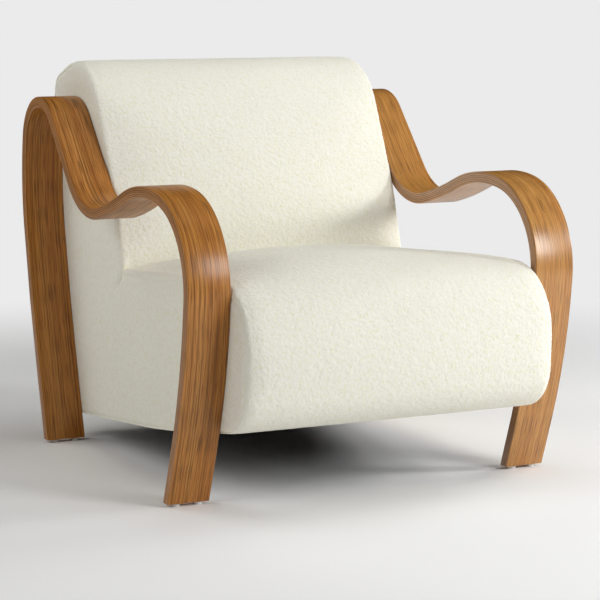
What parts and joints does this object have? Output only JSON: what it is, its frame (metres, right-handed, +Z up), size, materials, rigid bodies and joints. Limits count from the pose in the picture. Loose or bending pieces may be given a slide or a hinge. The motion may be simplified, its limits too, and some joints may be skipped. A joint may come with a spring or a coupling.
{
  "type": "accent chair",
  "caption": "Upholstered lounge chair: an L-shaped looped-cloth body with a rounded seat front, held between bent laminated wood ribbons that are arm and legs in one.",
  "frame": {"origin": "on the floor under the middle of the bounding box", "axes": "the chair faces -Y, +X is to the right of someone who looks at its front, +Z is up"},
  "size_m": [0.8, 0.9894, 0.7918],
  "materials": {
    "laminated_wood": "satin lacquer, brown oak",
    "frame_wood": "raw plywood and softwood",
    "boucle": "ivory looped cloth",
    "foam": "upholstery foam",
    "wadding": "polyester wadding",
    "felt": "pressed felt",
    "webbing": "elastic webbing",
    "lining": "woven lining",
    "dust_cloth": "non-woven dust cloth",
    "nylon": "white nylon",
    "brass": "plain",
    "zinc_steel": "zinc plated",
    "black_steel": "black oxide",
    "spring_steel": "drawn wire"
  },
  "bodies": {
    "root": {"arm_left": "laminated_wood", "arm_right": "laminated_wood", "floor_glides": "nylon", "glide_nails": "zinc_steel", "threaded_inserts": "brass", "arm_washers": "zinc_steel", "arm_bolts": "black_steel", "side_board_left": "frame_wood", "side_board_right": "frame_wood", "back_top_rail": "frame_wood", "back_middle_rail": "frame_wood", "base_rear_rail": "frame_wood", "base_middle_rail": "frame_wood", "back_lower_rail": "frame_wood", "seat_rear_rail": "frame_wood", "front_spring_rail": "frame_wood", "front_rail": "frame_wood", "rail_dowels": "frame_wood", "corner_blocks": "frame_wood", "seat_springs": "spring_steel", "spring_clips": "zinc_steel", "spring_tie_wires": "spring_steel", "spring_pad": "felt", "back_webbing": "webbing", "back_lining": "lining", "rear_wadding": "wadding", "seat_foam": "foam", "back_foam": "foam", "side_wadding_left": "wadding", "side_wadding_right": "wadding", "side_cover_left": "boucle", "side_cover_right": "boucle", "dust_cover": "dust_cloth", "outside_back_cover": "boucle", "back_cover": "boucle", "seat_cover": "boucle"}
  },
  "joints": []
}
